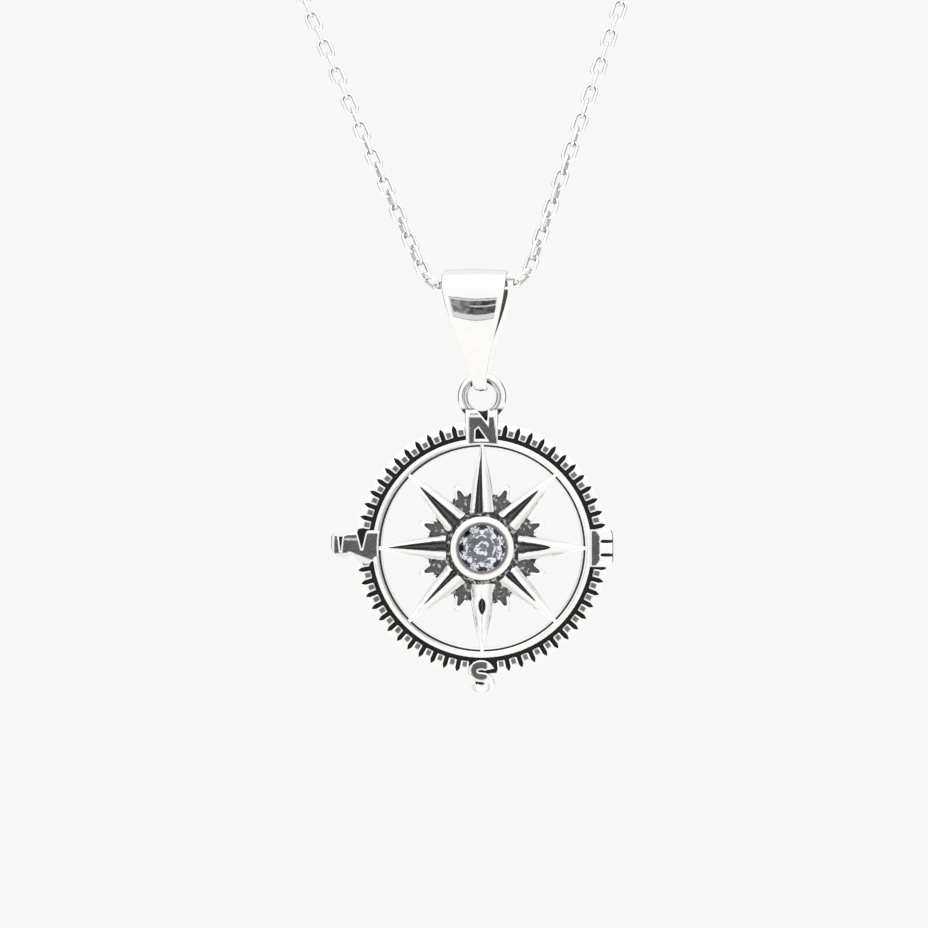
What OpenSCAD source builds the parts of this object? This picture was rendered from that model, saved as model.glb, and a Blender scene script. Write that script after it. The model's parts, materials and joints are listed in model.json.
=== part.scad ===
// Compass pendant with a round white stone, hanging by a tapered bail on a cable chain.
// Millimetres, +Z up, the front faces -Y. The origin is the middle of the neck opening.

/* [Compass rim] */
// Diameter over the toothed rim
rim_d = 20; // [18:0.5:23]
// Height of the toothed rim, back to front
rim_h = 1.7; // [1.4:0.05:2.1]
// Radial length of the teeth
tooth_l = 0.95; // [0.8:0.05:1.3]
// Radial run of the slope at the inner end of each tooth
tooth_slope = 0.35; // [0.2:0.05:0.5]
// Bevel round both outer edges of the rim
rim_bevel = 0.15; // [0.05:0.05:0.3]
// Notches in each quarter of the rim
notches = 12; // [8:1:14]
// Width of a notch
notch_w = 0.4; // [0.3:0.05:0.6]
// Radial length over which a notch narrows to the outside
notch_taper = 0.4; // [0.2:0.05:0.6]
// Angle from one notch to the next
notch_step = 6.2; // [5.5:0.1:7]
// Angle from east, north, west and south to the first notch that follows
notch_starts = [11, 13.5, 10.3, 12.3];
// Depth of the notches below the channel floor
notch_drop = 0.1; // [0.05:0.05:0.3]
// Radial width of the oxidised channel inside the teeth
channel_w = 0.33; // [0.15:0.01:0.4]
// Height of the channel floor
channel_h = 1.1; // [0.8:0.05:1.3]

/* [Inner ring] */
// Radial width of the polished inner ring
ring_w = 0.74; // [0.5:0.02:0.9]
// Height of the polished inner ring
ring_h = 1.9; // [1.5:0.05:2.3]
// Width of the low step along the ring's inner edge
step_w = 0.16; // [0.1:0.01:0.2]
// How far the step lies below the ring's top
step_drop = 0.3; // [0.1:0.05:0.35]

/* [Letters] */
// Height of the letters' faces, back to front
letter_h = 2; // [1.7:0.05:2.4]
// How far the outer ends of the letters curve back
letter_fall = 0.7; // [0.3:0.05:1]
// Width of the north letter
north_w = 2.65; // [2.2:0.05:3]
// Height of the north letter
north_l = 2.6; // [2.3:0.05:3]
// How far the north letter stands out past the rim
north_out = 1.1; // [0.8:0.05:1.3]
// Width of the east letter
east_w = 1.85; // [1.5:0.05:2.1]
// Height of the east letter
east_l = 3.1; // [2.6:0.05:3.3]
// How far the east letter stands out past the rim
east_out = 0.5; // [0.3:0.05:0.8]
// Width of the south letter
south_w = 2.15; // [1.8:0.05:2.5]
// Height of the south letter
south_l = 2.7; // [2.4:0.05:3]
// How far the south letter stands out past the rim
south_out = 1.6; // [1.2:0.05:1.8]
// Stroke width of the south letter
south_stroke = 0.78; // [0.6:0.02:0.84]
// Angle at which the south letter's upper bow starts
south_open = 15; // [5:1:30]
// Width of the west letter
west_w = 3.6; // [3.3:0.05:3.9]
// Height of the west letter
west_l = 2.8; // [2.4:0.05:3.1]
// How far the west letter stands out past the rim
west_out = 2; // [1.7:0.05:2.2]

/* [Star] */
// Width of a long ray at its root
ray_w = 2.45; // [2.2:0.05:2.6]
// Width of a long ray at its tip
ray_tip_w = 0.3; // [0.2:0.05:0.5]
// Height of the long rays' raised edges
ray_h = 1.65; // [1.4:0.05:1.9]
// Width of the raised edge along a ray
ray_edge = 0.35; // [0.25:0.05:0.45]
// Depth of the hollow between a ray's raised edges
ray_hollow = 0.35; // [0.15:0.05:0.5]
// Distance from the centre to the short rays' tips
short_tip_r = 5.5; // [4.8:0.1:6.2]
// Width of a short ray at its root
short_w = 1.4; // [1.1:0.05:1.6]
// Width of a short ray at its tip
short_tip_w = 0.2; // [0.1:0.05:0.3]
// Height of the short rays
short_h = 1.45; // [1.3:0.05:1.6]
// Radius of the hub web behind the rays
hub_r = 4.3; // [3.8:0.1:4.6]
// Height of the hub web
hub_h = 1.15; // [0.9:0.05:1.3]
// How far the star's back lies in front of the rim's back
star_back = 0.25; // [0.1:0.05:0.4]

/* [Stone and bezel] */
// Diameter of the stone at its girdle
stone_d = 4; // [3.5:0.1:4.4]
// Diameter of the stone's table
table_d = 2.24; // [2:0.02:2.4]
// Slope of the crown's main facets
crown_slope = 34.5; // [30:0.5:37]
// Slope of the pavilion's main facets
pavilion_slope = 41; // [39:0.5:43]
// Slope of the star facets, as a share of the crown's
star_share = 0.62; // [0.55:0.01:0.7]
// How much steeper the facets above the girdle are than the crown's main facets
upper_add = 7; // [5:0.5:9]
// How much steeper the facets below the girdle are than the pavilion's main facets
lower_add = 1.5; // [1:0.1:2]
// Thickness of the girdle
girdle_t = 0.1; // [0.06:0.02:0.16]
// Height of the girdle's middle above the rim's back
girdle_z = 2.25; // [2.15:0.05:2.5]
// Wall of the bezel cup outside the stone
bezel_wall = 0.5; // [0.35:0.05:0.65]
// How far the bezel's lip reaches over the stone
lip_reach = 0.16; // [0.1:0.02:0.24]
// Thickness of the bezel's lip
lip_t = 0.4; // [0.25:0.05:0.5]
// Radius of the open hole behind the stone
back_r = 1.2; // [0.9:0.05:1.4]
// Clearance between the stone and its bezel
stone_gap = 0.04; // [0.03:0.01:0.06]

/* [Loop and bail] */
// Wire thickness of the loop on top of the compass
loop_wire = 0.8; // [0.6:0.05:0.9]
// Radius of the loop's wire centre
loop_r = 1.55; // [1.45:0.05:1.8]
// How far the loop's outer edge is let into the north letter
loop_sink = 0.95; // [0.85:0.05:1.1]
// Height of the loop's middle plane above the rim's back
loop_z = 0.95; // [0.8:0.05:1.1]
// Height of the bail
bail_h = 9.9; // [8.5:0.1:12]
// Width of the bail at its top
bail_w = 5.2; // [4.4:0.1:6]
// Width of the bail at its lower end
bail_tip_w = 1.1; // [0.9:0.05:1.2]
// Greatest depth of the bail, front to back
bail_depth = 4.6; // [4:0.1:5.4]
// Sheet thickness of the bail
bail_wall = 0.55; // [0.4:0.05:0.65]
// Clearance between the bail and the loop's wire
loop_gap = 0.15; // [0.12:0.01:0.2]
// Clearance between the bail and the chain in its eye
eye_gap = 0.15; // [0.12:0.01:0.25]
// Sideways lean of the bail
bail_lean = -2.6; // [-6:0.2:0]
// Turn of the bail about the upright
bail_yaw = -5.5; // [-8:0.5:0]

/* [Chain] */
// Wire thickness of the links
link_wire = 0.25; // [0.2:0.01:0.28]
// Width of a link
link_w = 1.2; // [1.05:0.05:1.3]
// Length of chain that one link takes up, before it is fitted to a whole number
link_pitch = 1.29; // [1.2:0.01:1.45]
// Play at each end contact, added to a link's length
link_play = 0.17; // [0.15:0.01:0.22]
// Links made one by one on each side of the middle link
front_links = 40; // [25:1:50]
// Links from the bail over which the chain untwists to face the front
untwist_links = 16; // [8:1:24]
// Bend radius of the chain beside the bail
bail_bend = 1.5; // [1.5:0.1:2.5]
// Clearance between pieces that follow each other along the chain
end_gap = 0.1; // [0.1:0.05:0.3]

/* [Clasp] */
// Length of the clasp's barrel
clasp_l = 6; // [5:0.5:8]
// Diameter of the clasp's barrel
clasp_d = 2.6; // [2.2:0.1:3.2]
// Bevel on the barrel's ends
clasp_bevel = 0.5; // [0.3:0.05:0.7]
// Radius of the wire centre of the clasp's end eyes
clasp_eye_r = 0.55; // [0.5:0.05:0.65]
// Wire thickness of the end eyes
clasp_eye_wire = 0.3; // [0.26:0.02:0.34]

/* [Hidden] */

round_fn = 64;
wire_fn = 24;
bow_steps = 20;
overlap = 0.05;
girdle_rise = 0.02;

// Chosen route of the chain round the neck: x, y, z of each corner and its bend radius.
// The pivot is the point that the bail hangs from, between the last corner and the first.
chain_pivot = [5, -46, -121];
chain_corners = [
    [50.4, -2, 0, 25],
    [48, 50, 14, 45],
    [-48, 50, 14, 45],
    [-51.6, -2, 0, 25]
];
arc_steps = 18;

// Radii of the compass, from the rim inwards
rim_r = rim_d / 2;
tooth_r = rim_r - tooth_l;
ring_out_r = tooth_r - channel_w;
ring_in_r = ring_out_r - ring_w;
letter_back = rim_bevel;

// Stone and bezel
stone_r = stone_d / 2;
cut_size = 3 * stone_d;
table_r = table_d / 2;
crown_h = (stone_r - table_r) * tan(crown_slope);
girdle_top = girdle_z + girdle_t / 2;
girdle_low = girdle_z - girdle_t / 2;
bezel_r = stone_r + stone_gap + bezel_wall;
lip_r = stone_r - lip_reach;
lip_low = girdle_top + (lip_reach + stone_gap) * tan(crown_slope) + stone_gap;
bezel_h = lip_low + lip_t;

// Loop: its middle stands over the north letter
loop_y = rim_r + north_out + loop_r + loop_wire / 2 - loop_sink;
loop_in_r = loop_r - loop_wire / 2;

// Bail, measured from its pivot in the chain's centre
eye_r = link_w / 2 + eye_gap;
bail_top = eye_r + bail_wall;
bail_foot = bail_top - bail_h;
bail_big_r = bail_depth / 2;
bail_small_r = loop_wire / 2 + loop_gap + bail_wall;
bail_big_z = bail_top - bail_big_r;
bail_small_z = bail_foot + bail_small_r;
loop_settle = loop_in_r - sqrt(pow(loop_in_r, 2) - pow(bail_tip_w / 2, 2));
loop_hang = bail_foot + bail_wall + loop_gap + loop_settle - loop_in_r;

// The bail's own axes: along the chain in its eye, and down to the loop
bail_axis = [cos(bail_lean) * cos(bail_yaw), cos(bail_lean) * sin(bail_yaw), -sin(bail_lean)];
bail_up = [sin(bail_lean) * cos(bail_yaw), sin(bail_lean) * sin(bail_yaw), cos(bail_lean)];
loop_place = chain_pivot + loop_hang * bail_up;

// Chain route: straight through the bail's eye, then round the corners and back
function unit(v) = v / norm(v);
function place(c) = [c[0], c[1], c[2]];
function turn_at(p, q, r) = acos(unit(q - p) * unit(r - q));
function clear_run(side, run, rounds) =
    rounds == 0 ? run :
    clear_run(side, bail_w / 2 + eye_gap + bail_bend
        * tan(turn_at(chain_pivot, chain_pivot + side * run * bail_axis, neck_point(side)) / 2), rounds - 1);
function neck_point(side) = place(side > 0 ? chain_corners[0] : chain_corners[len(chain_corners) - 1]);
function bail_corner(side) =
    concat(chain_pivot + side * clear_run(side, bail_w, 6) * bail_axis, [bail_bend]);
corners = concat([bail_corner(1)], chain_corners, [bail_corner(-1)]);
function corner_arc(c, before, after) =
    let (from = unit(place(c) - before),
         to = unit(after - place(c)),
         turn = acos(from * to),
         inward = cross(unit(cross(from, to)), from),
         start = place(c) - c[3] * tan(turn / 2) * from)
    [for (i = [0:arc_steps])
        let (a = turn * i / arc_steps)
        start + c[3] * (inward * (1 - cos(a)) + from * sin(a))];
last = len(corners) - 1;
trace = concat(
    [chain_pivot],
    [for (i = [0:last]) each corner_arc(corners[i],
        i == 0 ? chain_pivot : place(corners[i - 1]),
        i == last ? chain_pivot : place(corners[i + 1]))],
    [chain_pivot]);
run = [for (i = 0, s = 0; i < len(trace);
    s = s + (i + 1 < len(trace) ? norm(trace[i + 1] - trace[i]) : 0), i = i + 1) s];
chain_l = run[len(run) - 1];
route = [for (axis = [0:2]) [for (i = [0:len(trace) - 1]) [run[i], trace[i][axis]]]];
function at(s) = [for (axis = [0:2]) lookup(s < 0 ? s + chain_l : s, route[axis])];

// Links: a whole number of them from the middle of the bail to each eye of the clasp
clasp_eye_x = clasp_l / 2 + clasp_eye_r - clasp_eye_wire / 2;
clasp_end = clasp_eye_x + clasp_eye_r + clasp_eye_wire / 2;
clasp_hook = clasp_end - clasp_eye_wire - end_gap - link_wire / 2 + (link_wire + link_play) / 2;
side_run = chain_l / 2 - clasp_hook;
side_links = round(side_run / link_pitch - 0.5);
pitch = side_run / (side_links + 0.5);
link_l = pitch + 2 * link_wire + link_play;
link_bow = (link_w - link_wire) / 2;
link_straight = link_l - link_w;

// Back tubes: from the last link made one by one to the clasp
tube_sides = 8;
tube_rings = 40;
tube_start = front_links * pitch + link_l / 2 + end_gap;
tube_end = chain_l / 2 - clasp_end - end_gap;

// Places a part whose own x runs along the chain and whose y lies across, turned by roll
module along_chain(centre, ahead, roll) {
    flat = unit(cross(ahead, [0, -1, 0]));
    up = cross(flat, ahead);
    across = flat * cos(roll) + up * sin(roll);
    high = cross(ahead, across);
    multmatrix([for (i = [0:2]) [ahead[i], across[i], high[i], centre[i]]]) children();
}

// One link: two alike halves, each a half ring with two straight wires to the middle
module link() {
    for (end = [0, 180])
        rotate([0, 0, end]) {
            translate([link_straight / 2, 0, 0])
                rotate([0, 0, -90])
                    rotate_extrude(angle = 180, $fn = wire_fn)
                        translate([link_bow, 0])
                            circle(d = link_wire, $fn = wire_fn);
            for (side = [-1, 1])
                translate([0, side * link_bow, 0])
                    rotate([0, 90, 0])
                        cylinder(d = link_wire, h = link_straight / 2, $fn = wire_fn);
        }
}

module chain_front() {
    color("silver")
        for (k = [-front_links:front_links]) {
            tail = at((k - 0.5) * pitch);
            head = at((k + 0.5) * pitch);
            twist = 45 * (1 - min(1, abs(k) / untwist_links));
            along_chain((tail + head) / 2, unit(head - tail), 90 * (abs(k) % 2) + twist)
                link();
        }
}

// A plain tube along the route, in rings of tube_sides points
module tube(from, to) {
    points = [for (i = [0:tube_rings - 1])
        let (s = from + (to - from) * i / (tube_rings - 1),
             centre = at(s),
             ahead = unit(at(s + link_wire) - at(s - link_wire)),
             flat = unit(cross(ahead, [0, -1, 0])),
             up = cross(flat, ahead))
        each [for (a = [0:tube_sides - 1])
            centre + link_w / 2 * (flat * cos(360 * a / tube_sides) + up * sin(360 * a / tube_sides))]];
    function spot(ring, a) = ring * tube_sides + a % tube_sides;
    sides = [for (ring = [0:tube_rings - 2], a = [0:tube_sides - 1])
        each [[spot(ring, a), spot(ring + 1, a + 1), spot(ring + 1, a)],
              [spot(ring, a), spot(ring, a + 1), spot(ring + 1, a + 1)]]];
    first_end = [for (a = [tube_sides - 1:-1:0]) spot(0, a)];
    last_end = [for (a = [0:tube_sides - 1]) spot(tube_rings - 1, a)];
    polyhedron(points, concat([first_end], sides, [last_end]));
}

module chain_back() {
    color("silver") {
        tube(tube_start, tube_end);
        tube(-tube_end, -tube_start);
    }
}

// Barrel with a small eye at each end
module clasp() {
    half = clasp_l / 2;
    color("silver")
        along_chain(at(chain_l / 2), unit(at(chain_l / 2 + link_wire) - at(chain_l / 2 - link_wire)), 0) {
            rotate([0, 90, 0])
                rotate_extrude($fn = round_fn)
                    polygon([
                        [0, -half],
                        [clasp_d / 2 - clasp_bevel, -half],
                        [clasp_d / 2, clasp_bevel - half],
                        [clasp_d / 2, half - clasp_bevel],
                        [clasp_d / 2 - clasp_bevel, half],
                        [0, half]
                    ]);
            for (side = [-1, 1])
                translate([side * clasp_eye_x, 0, 0])
                    rotate_extrude($fn = wire_fn)
                        translate([clasp_eye_r, 0])
                            circle(d = clasp_eye_wire, $fn = wire_fn);
        }
}

// Side outline of the bail: a teardrop with its pivot at the origin
function bow(r, middle, from, to) =
    [for (i = [0:bow_steps])
        let (a = from + (to - from) * i / bow_steps)
        [r * cos(a), middle + r * sin(a)]];
module teardrop(inset) {
    slant = asin((bail_big_r - bail_small_r) / (bail_big_z - bail_small_z));
    polygon(concat(
        bow(bail_big_r - inset, bail_big_z, -slant, 180 + slant),
        bow(bail_small_r - inset, bail_small_z, 180 + slant, 360 - slant)));
}

// Front outline of the bail: full width at the top, drawn in smoothly to the lower end
outline_steps = 14;
outline_lag = 1.1;
function bail_half_w(t) =
    let (u = pow(t, outline_lag), smooth = u * u * (3 - 2 * u))
    bail_w / 2 - (bail_w - bail_tip_w) / 2 * smooth;
module bail_front() {
    edge = [for (i = [0:outline_steps])
        let (t = i / outline_steps)
        [bail_half_w(t), bail_top - bail_h * t]];
    polygon(concat(
        [[bail_w / 2, bail_top + overlap]],
        edge,
        [[bail_tip_w / 2, bail_foot - overlap], [-bail_tip_w / 2, bail_foot - overlap]],
        [for (i = [outline_steps:-1:0]) [-edge[i][0], edge[i][1]]],
        [[-bail_w / 2, bail_top + overlap]]));
}

module bail() {
    color("silver")
        translate(chain_pivot)
            rotate([0, bail_lean, bail_yaw])
                intersection() {
                    rotate([90, 0, 90])
                        linear_extrude(height = bail_w + 2 * overlap, center = true)
                            difference() {
                                teardrop(0);
                                teardrop(bail_wall);
                            }
                    rotate([90, 0, 0])
                        linear_extrude(height = bail_depth + 2 * overlap, center = true)
                            bail_front();
                }
}

// The compass is drawn face up, north along +Y, its back on the plane z = 0
module on_loop() {
    translate([loop_place[0], loop_place[1] + loop_z, loop_place[2] - loop_y])
        rotate([90, 0, 0])
            children();
}

module toothed_rim() {
    difference() {
        rotate_extrude($fn = round_fn)
            polygon([
                [ring_in_r, 0],
                [rim_r - rim_bevel, 0],
                [rim_r, rim_bevel],
                [rim_r, rim_h - rim_bevel],
                [rim_r - rim_bevel, rim_h],
                [tooth_r + tooth_slope, rim_h],
                [tooth_r, channel_h],
                [ring_in_r, channel_h]
            ]);
        for (quarter = [0:3], i = [0:notches - 1])
            rotate([0, 0, 90 * quarter + notch_starts[quarter] + notch_step * i])
                translate([0, 0, channel_h - notch_drop])
                    linear_extrude(height = rim_h)
                        polygon([
                            [tooth_r, -notch_w / 2],
                            [rim_r - notch_taper, -notch_w / 2],
                            [rim_r, 0],
                            [rim_r - notch_taper, notch_w / 2],
                            [tooth_r, notch_w / 2]
                        ]);
    }
}

module inner_ring() {
    band_r = (ring_w - step_w) / 2;
    rotate_extrude($fn = round_fn) {
        translate([ring_in_r, channel_h - overlap])
            square([ring_w, ring_h - step_drop - channel_h + overlap]);
        translate([ring_in_r + step_w, channel_h])
            square([2 * band_r, ring_h - band_r - channel_h]);
        translate([ring_out_r - band_r, ring_h - band_r])
            circle(r = band_r, $fn = wire_fn);
    }
}

// Letter outlines, as shares of each letter's width and height from its lower left corner
north_shape = [
    [0, 0], [0, 1], [0.38, 1], [0.68, 0.63], [0.68, 1], [1, 1], [1, 0],
    [0.64, 0.06], [0.4, 0.4], [0.31, 0.38], [0.31, 0.06]
];
east_shape = [
    [0, 0.02], [0, 0.97], [0.2, 1], [0.82, 1], [0.97, 0.93], [1, 0.7], [0.44, 0.71], [0.44, 0.61],
    [1, 0.62], [1, 0.37], [0.45, 0.36], [0.45, 0.26], [0.98, 0.27], [0.92, 0.04], [0.8, 0]
];
west_shape = [
    [0, 0.9], [0.14, 0.88], [0.16, 0.45], [0.21, 0.45], [0.24, 0.94], [0.56, 1], [0.68, 0.5], [0.76, 0.96],
    [1, 0.98], [1, 0.12], [0.86, 0], [0.54, 0], [0.44, 0.34], [0.4, 0.36], [0.28, 0.16], [0.08, 0.16]
];

module letter_shape(shape, w, l) {
    polygon([for (p = shape) [p[0] * w, p[1] * l]]);
}

// The south letter: two joined bows, each between an outer and an inner ellipse
module south_shape() {
    bow_y = (south_l - south_stroke) / 4;
    steps = 12;
    sweep = 270 - south_open;
    function edge(a, inset) =
        [(south_w / 2 - inset) * cos(a), bow_y + (bow_y + south_stroke / 2 - inset) * sin(a)];
    outer = [for (i = [0:steps]) edge(south_open + sweep * i / steps, 0)];
    inner = [for (i = [0:steps - 1]) edge(south_open + sweep * i / steps, south_stroke)];
    side = concat(outer, [for (i = [steps - 1:-1:0]) -inner[i]]);
    polygon(concat(side, [for (p = side) -p]));
}

module letters() {
    inside = rim_r - tooth_l / 2;
    reach = max(north_out, east_out, south_out, west_out) + tooth_l / 2 + letter_h;
    steps = 6;
    fall = [for (i = [0:steps])
        let (a = 90 * i / steps)
        [inside + reach * sin(a), letter_h - letter_fall * (1 - cos(a))]];
    intersection() {
        translate([0, 0, letter_back])
            linear_extrude(height = letter_h) {
                translate([-north_w / 2, rim_r + north_out - north_l])
                    letter_shape(north_shape, north_w, north_l);
                translate([rim_r + east_out - east_w, -east_l / 2])
                    letter_shape(east_shape, east_w, east_l);
                translate([0, south_l / 2 - rim_r - south_out])
                    south_shape();
                translate([-rim_r - west_out, -west_l / 2])
                    letter_shape(west_shape, west_w, west_l);
            }
        rotate_extrude($fn = round_fn)
            polygon(concat([[0, 0], [0, letter_h]], fall, [[inside + reach, 0]]));
    }
}

// A ray along +X: a flat wedge with a hollow between its raised edges
module ray(root, tip, root_w, tip_w, h) {
    inner = root + ray_edge;
    slope = (root_w - tip_w) / (tip - root) / 2;
    inner_w = root_w - 2 * ray_edge - 2 * slope * ray_edge;
    point = inner + inner_w / 2 / slope;
    difference() {
        translate([0, 0, star_back])
            linear_extrude(height = h - star_back)
                polygon([[root, -root_w / 2], [tip, -tip_w / 2], [tip, tip_w / 2], [root, root_w / 2]]);
        translate([0, 0, h - ray_hollow])
            linear_extrude(height = h)
                polygon([[inner, -inner_w / 2], [point, 0], [inner, inner_w / 2]]);
    }
}

module star() {
    root = bezel_r - bezel_wall / 2;
    for (i = [0:7]) {
        rotate([0, 0, 45 * i])
            ray(root, ring_in_r + ring_w / 2, ray_w, ray_tip_w, ray_h);
        rotate([0, 0, 45 * i + 22.5])
            ray(bezel_r + ray_edge, short_tip_r, short_w, short_tip_w, short_h);
    }
}

module hub() {
    translate([0, 0, star_back])
        cylinder(r = hub_r, h = hub_h - star_back, $fn = round_fn);
}

module bezel_cup() {
    rotate_extrude($fn = round_fn)
        polygon([
            [back_r, 0],
            [bezel_r - rim_bevel, 0],
            [bezel_r, rim_bevel],
            [bezel_r, bezel_h - lip_t / 2],
            [bezel_r - lip_t / 2, bezel_h],
            [lip_r + lip_t / 4, bezel_h],
            [lip_r, bezel_h - lip_t / 4],
            [lip_r, lip_low],
            [stone_r + stone_gap, girdle_top + stone_gap],
            [stone_r + stone_gap, girdle_low - stone_gap / 2],
            [back_r, girdle_low - stone_gap / 2 - (stone_r + stone_gap - back_r) * tan(pavilion_slope)]
        ]);
}

// Everything inside the bezel cup, taken out of the star and the hub
module stone_room() {
    translate([0, 0, -overlap])
        cylinder(r = bezel_r - bezel_wall / 4, h = bezel_h, $fn = round_fn);
}

module loop() {
    translate([0, loop_y, loop_z])
        rotate_extrude($fn = round_fn)
            translate([loop_r, 0])
                circle(d = loop_wire, $fn = wire_fn);
}

module compass() {
    color("gainsboro")
        on_loop() {
            toothed_rim();
            inner_ring();
            letters();
            difference() {
                union() {
                    star();
                    hub();
                }
                stone_room();
            }
            bezel_cup();
            loop();
        }
}

// Facets of the cut stone, a row each: number round the stone, turn in degrees, slope,
// radius and height of a point on the facet. A negative slope cuts the pavilion.
function stone_facets() =
    let (half = girdle_t / 2,
         star_slope = crown_slope * star_share,
         small_r = stone_r * cos(360 / 32) + girdle_rise)
    [
        [8, 0, crown_slope, stone_r, half],
        [8, 360 / 16, star_slope, table_r * cos(360 / 16), half + crown_h],
        [16, 360 / 32, crown_slope + upper_add, small_r, half],
        [8, 0, -pavilion_slope, stone_r, -half],
        [16, 360 / 32, -pavilion_slope - lower_add, small_r, -half]
    ];

module facet_side(facet, i) {
    under = facet[2] > 0 ? -1 : 0;
    rotate([0, 0, facet[1] + 360 * i / facet[0]])
        translate([facet[3], 0, facet[4]])
            rotate([0, facet[2], 0])
                translate([-cut_size / 2, -cut_size / 2, under * cut_size])
                    cube(cut_size);
}

module stone() {
    color("white")
        on_loop()
            translate([0, 0, girdle_z])
                intersection() {
                    translate([0, 0, -stone_r])
                        cylinder(r = stone_r, h = stone_r + girdle_t / 2 + crown_h, $fn = round_fn);
                    intersection_for(facet = stone_facets())
                        intersection_for(i = [0:facet[0] - 1])
                            facet_side(facet, i);
                }
}

chain_front();
chain_back();
clasp();
bail();
compass();
stone();
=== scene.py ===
"""Looks of the compass pendant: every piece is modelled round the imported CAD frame."""
import json
import math
from types import SimpleNamespace

import bmesh
import bpy
from bpy.props import FloatProperty, FloatVectorProperty, IntProperty, PointerProperty
from mathutils import Matrix, Vector, noise


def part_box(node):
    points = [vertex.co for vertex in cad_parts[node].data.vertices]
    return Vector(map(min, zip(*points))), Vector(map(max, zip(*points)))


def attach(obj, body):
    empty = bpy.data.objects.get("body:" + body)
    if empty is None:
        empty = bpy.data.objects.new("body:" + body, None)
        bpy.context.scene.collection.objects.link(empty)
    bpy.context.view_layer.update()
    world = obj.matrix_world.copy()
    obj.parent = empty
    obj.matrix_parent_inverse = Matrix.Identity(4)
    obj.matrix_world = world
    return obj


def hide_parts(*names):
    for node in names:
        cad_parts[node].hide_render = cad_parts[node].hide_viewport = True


bl_info = {
    "name": "Compass pendant",
    "version": (1, 0, 0),
    "blender": (4, 5, 0),
    "location": "View3D > Sidebar > Pendant",
    "description": "Models an antiqued silver compass pendant on its cable chain",
    "category": "Add Mesh",
}

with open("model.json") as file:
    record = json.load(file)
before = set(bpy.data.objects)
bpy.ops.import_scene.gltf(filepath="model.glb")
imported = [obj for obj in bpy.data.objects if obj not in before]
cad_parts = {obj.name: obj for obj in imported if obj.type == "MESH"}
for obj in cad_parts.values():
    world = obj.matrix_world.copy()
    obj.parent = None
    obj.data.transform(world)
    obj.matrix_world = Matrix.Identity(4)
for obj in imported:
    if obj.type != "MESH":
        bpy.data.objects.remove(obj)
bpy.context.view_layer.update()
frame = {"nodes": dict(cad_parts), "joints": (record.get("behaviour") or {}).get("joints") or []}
MM = 0.001

# Places taken from the frame. Each piece is modelled in millimetres at its own origin and then placed.
JOINTS = {joint["name"]: joint for joint in frame["joints"]}
PIVOT = Vector(JOINTS["bail_swing"]["pos_m"])
BAIL_AXIS = Vector(JOINTS["bail_swing"]["axis"]).normalized()
LOOP_PLACE = Vector(JOINTS["pendant_sway"]["pos_m"])
BAIL_UP = (PIVOT - LOOP_PLACE).normalized()
STONE_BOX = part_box("stone")
COMPASS_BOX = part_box("compass")
CENTRE = Vector((
    (STONE_BOX[0].x + STONE_BOX[1].x) / 2,
    COMPASS_BOX[1].y,
    (STONE_BOX[0].z + STONE_BOX[1].z) / 2,
))
COMPASS_PLACE = (
    Matrix.Translation(CENTRE) @ Matrix.Rotation(math.radians(90), 4, "X") @ Matrix.Scale(MM, 4)
)
BAIL_PLACE = Matrix.Translation(PIVOT) @ Matrix((
    BAIL_AXIS, BAIL_UP.cross(BAIL_AXIS), BAIL_UP
)).transposed().to_4x4() @ Matrix.Scale(MM, 4)


def length(name, description, millimetres, low, high):
    """A length property, given in millimetres and kept in metres."""
    return FloatProperty(
        name=name, description=description, default=millimetres * MM,
        min=low * MM, max=high * MM, precision=5, unit="LENGTH",
    )


def in_mm(group):
    """The group's sizes by name, with its lengths in millimetres."""
    sizes = {}
    for name, rna in group.bl_rna.properties.items():
        if name not in ("rna_type", "name"):
            value = getattr(group, name)
            sizes[name] = value / MM if getattr(rna, "unit", "") == "LENGTH" else value
    return SimpleNamespace(**sizes)


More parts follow.
